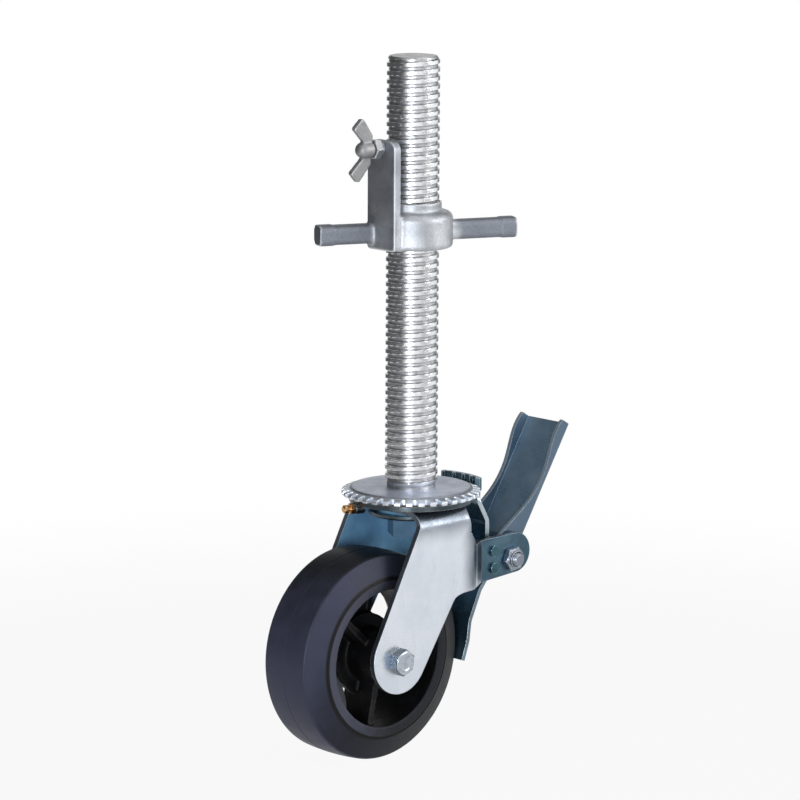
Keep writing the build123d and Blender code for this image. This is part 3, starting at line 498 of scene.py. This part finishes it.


# Fork: one pressed steel sheet, plated a pale blue white and polished by handling. Its cut edges,
# its rear and its crown are painted darker as shade, and a pale streak on its rear bend is a painted
# highlight. Its inside and underside are painted bright blue as the blue light they reflect, and the
# ears are dark teal.
fork_plate, fork_shader, fork_place = new_finish("fork_plate")
fork_cloud = fork_place.noise(26.0, 4.0, 0.55).step(0.35, 0.7)
fork_speck = fork_place.noise(650.0, 3.0, 0.6)
fork_dent = fork_place.noise(48.0, 2.0, 0.5)
fork_smear = fork_place.stretched((1.0, 1.0, 0.35)).noise(120.0, 4.0, 0.6).step(0.55, 0.8)
fork_base = fork_cloud.blend((0.80, 0.84, 0.91, 1.0), (0.68, 0.73, 0.80, 1.0))
fork_base = (fork_smear * 0.35).blend(fork_base, (0.48, 0.53, 0.61, 1.0))
fork_x = fork_place.part(0)
fork_z = fork_place.part(2)
# The rear towards the ears and the crown are painted dark as shade.
painted_rear_shade = (fork_x + fork_dent * 0.008).step(0.015, 0.033)
painted_rear_shade = painted_rear_shade * (fork_z + fork_dent * 0.01).step(-0.078, -0.062)
painted_crown_shade = (fork_z + fork_dent * 0.006).step(-0.034, -0.012)
fork_base = (painted_rear_shade * 0.94).most(painted_crown_shade * 0.85).blend(fork_base, (0.06, 0.085, 0.12, 1.0))
# A pale streak on the rear bend is a painted highlight.
painted_bend_highlight = fork_x.step(0.0305, 0.0325) * (1.0 - fork_x.step(0.0330, 0.0355))
painted_bend_highlight = painted_bend_highlight * (1.0 - fork_z.step(-0.030, -0.022))
fork_base = (painted_bend_highlight * 0.7).blend(fork_base, (0.70, 0.78, 0.86, 1.0))
fork_base = worn_and_lit_edges(fork_place, 0.0009).blend(fork_base, (0.80, 0.84, 0.88, 1.0))
feed(fork_shader, Base_Color=fork_base, Metallic=0.95,
     Roughness=0.23 + fork_cloud * 0.07 + fork_speck * 0.05 + fork_smear * 0.08,
     Normal=worn_relief(fork_place, fork_speck * 0.06 + fork_dent, 0.0005, 0.0012))
# The cut edges get a dark finish as painted shade, with paler worn and highlighted edges.
fork_edge_shade = blue_plate("fork_edge_shade", (0.10, 0.12, 0.15), (0.24, 0.28, 0.33), 0.3, (0.75, 0.80, 0.86))
fork_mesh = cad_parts["fork"].data.copy()
fork_sheet = bpy.data.objects.new("fork_sheet", fork_mesh)
scene.collection.objects.link(fork_sheet)
fork_mesh.materials.clear()
for finish in (fork_plate, fork_edge_shade, deep_and_reflected_plate, teal_plate):
    fork_mesh.materials.append(finish)
tidy_mesh(fork_sheet, 30.0)
face_count = len(fork_mesh.polygons)
normal, middle = np.empty(face_count * 3), np.empty(face_count * 3)
fork_mesh.polygons.foreach_get("normal", normal)
fork_mesh.polygons.foreach_get("center", middle)
normal, middle = normal.reshape(-1, 3), middle.reshape(-1, 3)
# Faces of the cut edges take the dark edge finish as painted shade.
cut_edge = (np.abs(normal[:, 0]) > 0.75) | ((np.abs(normal[:, 1]) < 0.45) & (middle[:, 2] < -0.026))
# Faces that look inward or down take the bright blue as painted reflection.
inside = (normal[:, 1] * middle[:, 1] < 0.0) | (normal[:, 2] < -0.5)
ear = (middle[:, 0] > 0.0425) & (middle[:, 2] > -0.08)
fork_slots = np.select([cut_edge, ear, inside], [1, 3, 2], 0).astype(np.int32)
fork_mesh.polygons.foreach_set("material_index", fork_slots)
fork_sheet.modifiers.new("even_shading", "WEIGHTED_NORMAL").keep_sharp = True
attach(fork_sheet, "fork")
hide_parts("fork")


# Wheel core: a black painted iron casting with a broad rim, a hub, a web round it and six ribs, and
# a cast boss inside the rim. Its bore holds a roller bearing in a cage, on a sleeve in the fork.
wheel_at, wheel_r = (-0.048, 0.0, -0.114), 0.075
to_wheel = tuple(-value for value in wheel_at)


def cast_copy(name, node, body, finish, grain, passes):
    """A casting's skin: the node's solid cut into even cells of size grain, and eased to round its edges."""
    made = bpy.data.objects.new(name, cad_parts[node].data.copy())
    scene.collection.objects.link(made)
    made.data.materials.clear()
    tidy_mesh(made, 180.0)
    cells = made.modifiers.new("cells", "REMESH")
    cells.mode = "VOXEL"
    cells.voxel_size = grain
    ease = made.modifiers.new("ease", "SMOOTH")
    ease.factor = 0.5
    ease.iterations = passes
    skin_mesh = bpy.data.meshes.new_from_object(made.evaluated_get(bpy.context.evaluated_depsgraph_get()))
    made.modifiers.clear()
    made.data = skin_mesh
    skin_mesh.name = name
    skin_mesh.materials.clear()
    skin_mesh.materials.append(finish)
    skin_mesh.shade_smooth()
    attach(made, body)
    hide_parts(node)
    return made


black_iron, iron_shader, iron_place = new_finish("black_iron")
iron_lump = iron_place.noise(170.0, 5.0, 0.6)
iron_grain = iron_place.noise(900.0, 3.0, 0.6)
iron_dust = iron_place.noise(80.0, 4.0, 0.6).step(0.5, 0.75)
iron_face = iron_place.part(1).size().step(0.0262, 0.0275)
iron_centre = iron_place.moved(to_wheel).stretched((1.0, 0.0, 1.0))
# The rim's face is painted paler and purple towards the trailing side as the light from the left.
iron_left_light = iron_centre.along((-0.97, 0.0, 0.1))
iron_left_light = (iron_left_light + iron_lump * 0.03).step(0.0, 0.062)
iron_reach = iron_centre.length()
iron_rim = iron_face * iron_reach.step(0.045, 0.05) * (1.0 - iron_reach.step(0.0558, 0.0566))
iron_base = iron_dust.blend((0.003, 0.003, 0.0035, 1.0), (0.008, 0.0085, 0.010, 1.0))
# Raised edges off the rim face are painted paler, as wear and as painted highlights.
iron_crest_wear_and_highlight = iron_place.node("ShaderNodeNewGeometry", {}, {}, "Pointiness").step(0.52, 0.58)
iron_crest_wear_and_highlight = iron_crest_wear_and_highlight * (1.0 - iron_rim)
iron_base = (iron_crest_wear_and_highlight * 0.7).blend(iron_base, (0.07, 0.072, 0.08, 1.0))
iron_rim_light = iron_left_light.blend((0.010, 0.012, 0.016, 1.0), (0.085, 0.090, 0.125, 1.0))
iron_base = iron_rim.blend(iron_base, iron_rim_light)
feed(iron_shader, Base_Color=iron_base, Metallic=0.0, Specular_IOR_Level=0.22,
     Roughness=0.38 + iron_grain * 0.22 + iron_dust * 0.12,
     Normal=iron_place.node("ShaderNodeBump", {},
                            {"Height": iron_lump + iron_grain * 0.35, "Distance": 0.0004}))
cast_copy("cast_core", "wheel_core", "wheel", black_iron, 0.0011, 3)
boss_turn = np.radians(np.linspace(186.0, 219.0, 25))
boss_lift = np.sin(np.linspace(0.0, np.pi, 25)) ** 0.5
boss_rows = []
boss_section = ((0.0, -0.0262), (0.75, -0.0258), (0.95, -0.0248), (1.0, -0.0225),
                (1.0, -0.0165), (0.8, -0.0145), (0.0, -0.0135))
for share, along in boss_section:
    boss_r = 0.0512 - (0.0016 + 0.0066 * boss_lift) * share
    boss_row = (boss_r * np.cos(boss_turn), np.full(25, along), boss_r * np.sin(boss_turn))
    boss_rows.append(np.stack(boss_row, axis=-1))
boss_rows.append(boss_rows[0])
skin("rim_boss", "wheel", np.stack(boss_rows) + np.array(wheel_at), False, black_iron)
dark_steel = bright_plate("dark_steel", (0.10, 0.105, 0.11), (0.06, 0.06, 0.065), 0.35, 0.8)
repaint(dark_steel, "roller_cage", "axle_sleeve", "hub_washers", "pivot_sleeve", "pivot_washers")


# Tyre: solid rubber moulded on the rim. Its tread is almost flat, a faint line from the mould runs
# round it, and both sides slope in to the rim. The rubber is blue black, painted paler and bluer on
# the trailing side as the light from the left, and painted near black next to the rim as shade.
rubber, rubber_shader, rubber_place = new_finish("tyre_rubber")
rubber_bloom = rubber_place.noise(22.0, 4.0, 0.6).step(0.35, 0.7)
rubber_streak = rubber_place.stretched((1.0, 0.12, 1.0)).noise(160.0, 4.0, 0.6)
rubber_grain = rubber_place.noise(1500.0, 3.0, 0.6)
rubber_dust = rubber_place.noise(700.0, 4.0, 0.7).step(0.62, 0.78)
rubber_flat = rubber_place.moved(to_wheel).stretched((1.0, 0.0, 1.0))
rubber_reach = rubber_flat.length()
# The trailing side of the tread and flanks is painted paler and bluer as the light from the left; bloom adds
# a little real paleness.
rubber_tread_light = rubber_flat.along((-0.92, 0.0, -0.38))
rubber_side_light = rubber_flat.along((-0.87, 0.0, 0.50))
rubber_flank = rubber_place.part(1).size().step(0.0198, 0.0210)
rubber_side_light = rubber_tread_light + (rubber_side_light - rubber_tread_light) * rubber_flank
rubber_side_light = (rubber_side_light + rubber_bloom * 0.012).step(0.005, 0.072)
rubber_light_and_bloom = rubber_side_light * 0.85 + rubber_bloom * 0.15
rubber_base = rubber_light_and_bloom.blend((0.003, 0.006, 0.008, 1.0), (0.062, 0.067, 0.110, 1.0))
rubber_base = (rubber_dust * 0.25).blend(rubber_base, (0.10, 0.105, 0.12, 1.0))
# Next to the rim the rubber is painted near black as shade.
rubber_base = (1.0 - rubber_reach.step(0.0583, 0.0600)).blend(rubber_base, (0.002, 0.002, 0.003, 1.0))
feed(rubber_shader, Base_Color=rubber_base, Metallic=0.0, Specular_IOR_Level=0.22,
     Roughness=0.36 + rubber_bloom * 0.1 + rubber_streak * 0.14,
     Normal=rubber_place.node("ShaderNodeBump", {},
                              {"Height": rubber_grain * 0.5 + rubber_streak, "Distance": 0.00015}))


def tyre_profile():
    """Section of the tyre from one edge of the rim over the crowned tread to the other."""
    across = np.linspace(-0.0203, 0.0203, 61)
    mould_line = 0.0003 * np.exp(-((across + 0.0006) / 0.00035) ** 2)
    corner = 0.0007 * np.clip((np.abs(across) - 0.0192) / 0.0011, 0.0, 1.0) ** 2
    tread = wheel_r - 0.0011 * (across / 0.0203) ** 2 - mould_line - corner
    flank = np.linspace(0.06, 0.94, 10)
    flank_r = 0.0739 + (0.0572 - 0.0739) * flank + 0.0003 * np.sin(np.pi * flank)
    flank_y = 0.0203 + 0.0076 * flank
    edge = [(0.0578, 0.0277), (0.0575, 0.0277), (0.0574, 0.0272), (0.0590, 0.0251)]
    side = list(zip(flank_r, flank_y)) + edge
    return [(r, -y) for r, y in side[::-1]] + list(zip(tread, across)) + side


tyre_points = lathe(tyre_profile(), 192, wheel_at, "y")
tyre_points = np.concatenate((tyre_points, tyre_points[:1]))
tyre = skin("moulded_tyre", "wheel", tyre_points, True, rubber, 30.0)
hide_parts("tyre")


# Axle and brake pivot: plated hexagon bolts with chamfered heads, and their nuts on the threads.
def hexagon_part(name, body, node, rows, flats, start, centre, axis, corner_turn, finish, way=1.0):
    """A turned profile held to a hexagon: the radius is the least of the row's limit and the flat's reach.

    Each row is (limit, height), and height runs from start along the axis, or against it with way -1.
    A corner of the hexagon stands at corner_turn degrees.
    """
    turn = np.radians(corner_turn - 30.0)
    angle = np.linspace(0.0, 2.0 * np.pi, 144, endpoint=False)
    limit, height = np.array(rows, float).T
    flat_turn = (angle + np.pi / 6.0) % (np.pi / 3.0) - np.pi / 6.0
    hexagon_r = flats / 2.0 / np.cos(flat_turn)
    radius = np.minimum(limit[:, None], hexagon_r)
    across, up = radius * np.cos(angle + turn), radius * np.sin(angle + turn)
    along = np.broadcast_to(start + way * height[:, None], radius.shape)
    order = {"y": (across, along, up), "x": (along, across, up)}
    made = skin(name, body, np.stack(order[axis], axis=-1) + np.array(centre), True, finish, 24.0)
    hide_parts(node)
    return made


def bolt_rows(head, corner, flats, shank, length, pitch):
    """Rows of a bolt, from the face of its head over chamfer, flats and shank to the end of its thread."""
    recess, chamfer = 0.0004, (corner - flats * 0.475) * 0.55
    rows = [(0.0, recess), (flats * 0.27, recess), (flats * 0.32, 0.0), (flats * 0.44, 0.0)]
    rows += [(flats * 0.475, 0.0003), (corner, chamfer + 0.0003)]
    rows += [(corner, head - 0.0001), (flats * 0.49, head)]
    rows += [(shank, head), (shank, head + length - 6.2 * pitch)]
    step = np.linspace(0.0, 6.0, 37)
    thread_r = shank - 0.0007 * (0.5 + 0.5 * np.cos(2.0 * np.pi * step))
    thread = list(zip(thread_r, head + length + (step - 6.0) * pitch - 0.0005))
    return rows + thread + [(shank - 0.0012, head + length), (0.0, head + length)]


def nut_rows(height, corner, flats, bore, collar=0.0):
    """Rows round a nut: bore, chamfer, flats, chamfer, any round collar, and back through the bore."""
    chamfer = (corner - flats * 0.475) * 0.55
    rows = [(bore, 0.0), (flats * 0.475, 0.0), (corner, chamfer), (corner, height - chamfer - collar)]
    rows += [(flats * 0.475, height - collar)]
    if collar:
        rows += [(flats * 0.41, height - collar), (flats * 0.40, height - 0.0004), (flats * 0.37, height)]
    return rows + [(bore + 0.0006, height), (bore, height - 0.0006), (bore, 0.0)]


bolt_plate = bright_plate("bolt_plate", (0.30, 0.34, 0.39), (0.17, 0.20, 0.24), 0.22, 0.9)
pale_plate = bright_plate("pale_plate", (0.60, 0.61, 0.63), (0.45, 0.46, 0.48), 0.25, 0.7)
nut_plate = bright_plate("nut_plate", (0.34, 0.37, 0.43), (0.24, 0.27, 0.32), 0.26, 0.7)
bolt_shaded_sides, bolt_shader, bolt_place = new_finish("bolt_shaded_sides")
# Behind the head's outer face, the bolt's sides and shank are painted dark as shade.
bolt_side_shade = bolt_place.part(1).step(-0.0460, -0.0455)
bolt_cloud = bolt_place.noise(260.0, 4.0, 0.6).step(0.4, 0.7)
bolt_base = bolt_cloud.blend((0.52, 0.56, 0.62, 1.0), (0.36, 0.40, 0.46, 1.0))
bolt_base = (bolt_side_shade * 0.92).blend(bolt_base, (0.035, 0.05, 0.065, 1.0))
bolt_base = (worn_and_lit_edges(bolt_place, 0.0006) * 0.7).blend(bolt_base, (0.75, 0.8, 0.84, 1.0))
feed(bolt_shader, Base_Color=bolt_base, Metallic=0.95, Roughness=0.2 + bolt_cloud * 0.12,
     Normal=worn_relief(bolt_place, bolt_cloud, 0.00005, 0.0005))
axle_flats, pivot_flats = 0.017, 0.016
hexagon_part("axle_bolt_head", "fork", "axle_bolt",
             bolt_rows(0.0075, 0.0098, axle_flats, 0.006, 0.0915, 0.00175),
             axle_flats, -0.0465, wheel_at, "y", 22.0, bolt_shaded_sides)
hexagon_part("axle_lock_nut", "fork", "axle_nut", nut_rows(0.0105, 0.0098, axle_flats, 0.0061, 0.003),
             axle_flats, 0.039, wheel_at, "y", 10.0, bolt_plate)
pivot_at = (0.073, 0.0, -0.059)
hexagon_part("pivot_bolt_head", "fork", "pivot_bolt",
             bolt_rows(0.0064, 0.0092, pivot_flats, 0.005, 0.0675, 0.0015),
             pivot_flats, 0.0354, pivot_at, "y", 15.0, nut_plate, -1.0)
hexagon_part("pivot_lock_nut", "fork", "pivot_nut", nut_rows(0.007, 0.0092, pivot_flats, 0.00505, 0.0018),
             pivot_flats, -0.029, pivot_at, "y", 8.0, nut_plate, -1.0)


# Brake: a pedal pressed as a waisted channel, and a plate with a shoe folded at its foot and the
# toothed lock block at its head, in blue plating of several depths. Rivets in the ears guide it.
# The pedal's flanks are painted darker as shade, and the edges of its flanges paler as painted highlights.
pedal_plate = blue_plate("pedal_plate", (0.22, 0.34, 0.46), (0.32, 0.45, 0.56), 0.27,
                         (0.85, 0.92, 0.96), 0.55, "flange")
# The plate's side faces are painted paler as highlights, the more the higher they stand.
lock_plate = blue_plate("lock_plate", (0.055, 0.115, 0.16), (0.13, 0.22, 0.29), 0.25,
                        (0.85, 0.90, 0.92), 0.72, "side")
block_plate = blue_plate("block_plate", (0.07, 0.13, 0.17), (0.15, 0.24, 0.30), 0.25, (0.80, 0.86, 0.88))
rivet_plate = blue_plate("rivet_plate", (0.03, 0.075, 0.095), (0.06, 0.14, 0.17), 0.14,
                         (0.35, 0.55, 0.60), 0.85)
repaint(pedal_plate, "brake_lever")
repaint(lock_plate, "brake_plate")
repaint(block_plate, "lock_block")
repaint(rivet_plate, "guide_rivets")


# Jack nut: a malleable iron casting, plated and dulled, with a round body that carries the tube, two
# cast handles and an upstand that clamps on the tube. The handles and the upstand are painted darker as
# shade.
def cast_grey(name, bright, dark, reach_low, reach_high, metal):
    """Dull plated casting with a sandy skin, painted darker as shade between two distances from the stem's
    axis and from 206 mm up, and paler on its crests as wear and as painted highlights.
    """
    finish, shader, place = new_finish(name)
    away = place.axis_reach()
    lump = place.noise(110.0, 4.0, 0.55)
    sand = place.noise(1100.0, 4.0, 0.7)
    cloud = place.noise(50.0, 4.0, 0.6)
    # The handles and the upstand are painted darker as shade.
    handle_and_upstand_shade = (away + cloud * 0.008).step(reach_low + 0.004, reach_high + 0.004)
    height = place.part(2)
    handle_and_upstand_shade = handle_and_upstand_shade.most((height + cloud * 0.02).step(0.206, 0.218) * 0.54)
    base = handle_and_upstand_shade.blend((*bright, 1.0), (*dark, 1.0))
    base = (cloud.step(0.4, 0.7) * 0.4).blend(base, tuple(value * 0.7 for value in dark) + (1.0,))
    base = (place.noise(300.0, 5.0, 0.7).step(0.6, 0.78) * 0.5).blend(base, (0.08, 0.078, 0.075, 1.0))
    base = (sand.step(0.4, 0.6) * 0.4).blend(base, tuple(value * 1.6 for value in dark) + (1.0,))
    # Crests are painted paler, as wear and as painted highlights.
    crest_wear_and_highlight = place.node("ShaderNodeNewGeometry", {}, {}, "Pointiness").step(0.515, 0.56)
    base = (crest_wear_and_highlight * 0.8).blend(base, (0.80, 0.81, 0.82, 1.0))
    feed(shader, Base_Color=base, Metallic=metal, Roughness=0.34 + sand * 0.2 + handle_and_upstand_shade * 0.08,
         Normal=worn_relief(place, lump * 0.6 + sand * 0.4, 0.00045, 0.0012))
    return finish


nut_grey = cast_grey("nut_grey", (0.62, 0.64, 0.66), (0.205, 0.222, 0.255), 0.030, 0.037, 0.9)
cast_copy("cast_jack_nut", "jack_nut", "jack_nut", nut_grey, 0.0009, 2)


# Wing bolt: a small casting with two swept wings and a dome, screwed through the upstand on to
# the tube, with a lock nut behind it.
# cast_grey paints the wing bolt darker as shade, more towards its outer end.
wing_grey = cast_grey("wing_grey", (0.38, 0.38, 0.385), (0.30, 0.30, 0.305), 0.030, 0.060, 0.8)
cast_copy("cast_wing_bolt", "wing_bolt", "wing_bolt", wing_grey, 0.0005, 4)
jam_flats, jam_corner = 0.013, 0.0075
jam_rows = [(0.00406, 0.0), (0.0047, 0.0), (0.0052, 0.0005), (0.0052, 0.003), (0.0061, 0.003)]
jam_rows += [(jam_corner, 0.0038)]
jam_rows += [(jam_corner, 0.0088), (0.0061, 0.0095), (0.0046, 0.0095), (0.00406, 0.009), (0.00406, 0.0)]
hexagon_part("jam_nut_hex", "jack_nut", "wing_jam_nut", jam_rows, jam_flats, -0.031,
             (0.0, 0.0, 0.2455), "x", 0.0, pale_plate, -1.0)
